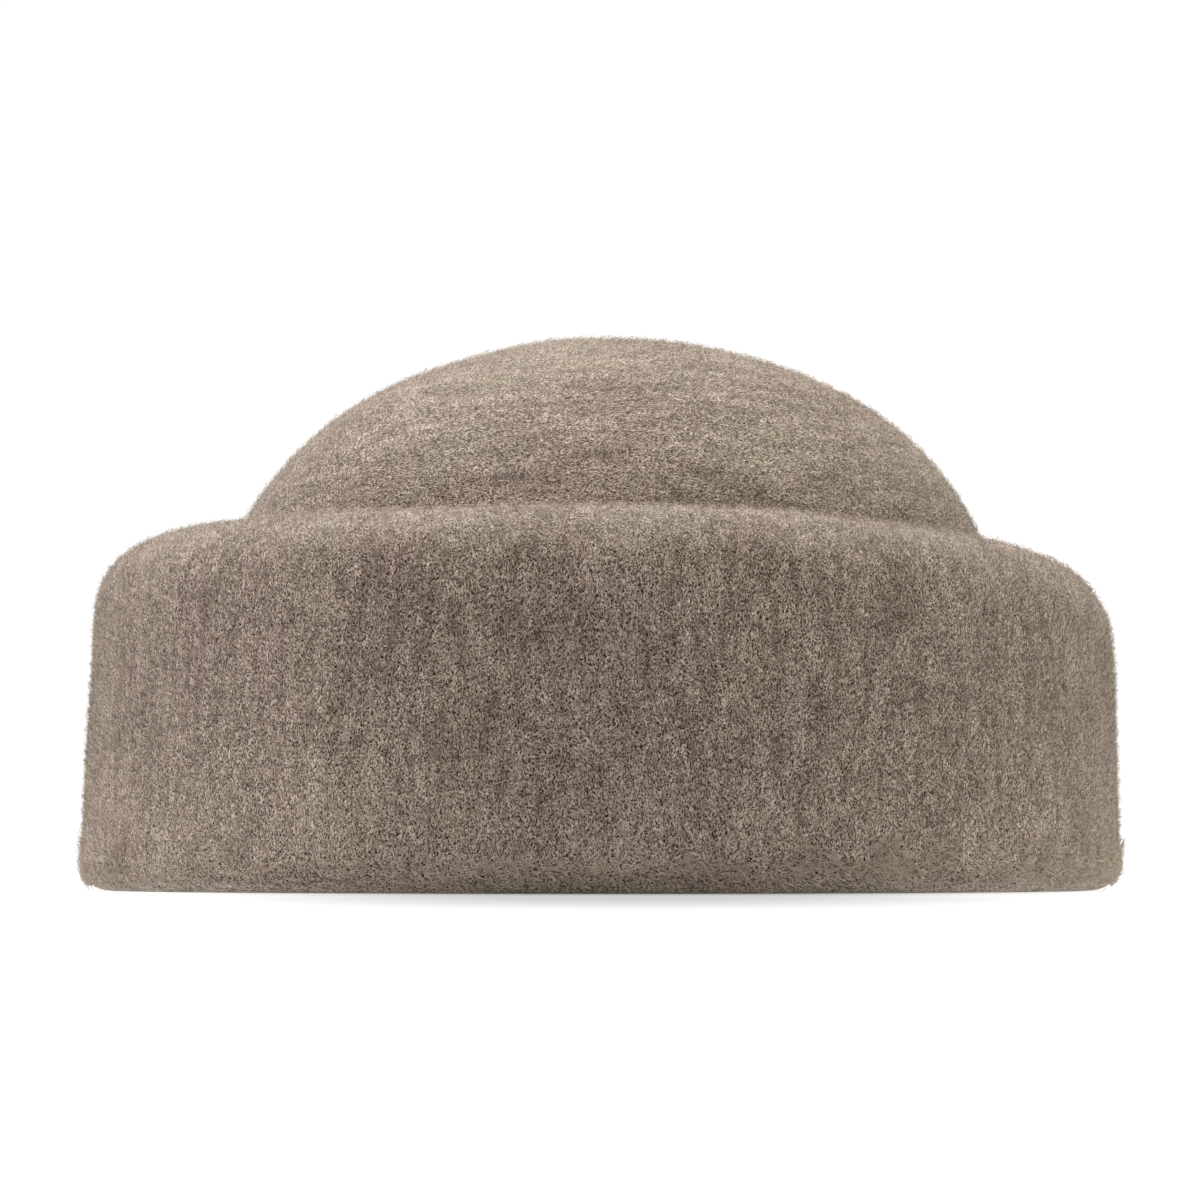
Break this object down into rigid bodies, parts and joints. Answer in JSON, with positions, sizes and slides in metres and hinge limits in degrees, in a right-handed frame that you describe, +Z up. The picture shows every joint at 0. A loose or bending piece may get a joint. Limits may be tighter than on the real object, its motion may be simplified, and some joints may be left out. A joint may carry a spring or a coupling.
{
  "type": "felt docker beanie",
  "caption": "One-piece brushed felt beanie with a low domed crown, a tall turned-up cuff with a soft rounded shoulder, and an open hollow for the head.",
  "frame": {"origin": "on the surface that the hat rests on, under the middle of its bounding box", "axes": "+Z up through the crown, Y along the hat from its front at -Y to its back at +Y, X across it from ear to ear"},
  "size_m": [0.191, 0.223, 0.1018],
  "materials": {
    "felt": "long-napped brushed felt in a warm grey-brown, with lighter and darker fibres mixed through it"
  },
  "bodies": {
    "root": {"felt_body": "felt"}
  },
  "joints": []
}
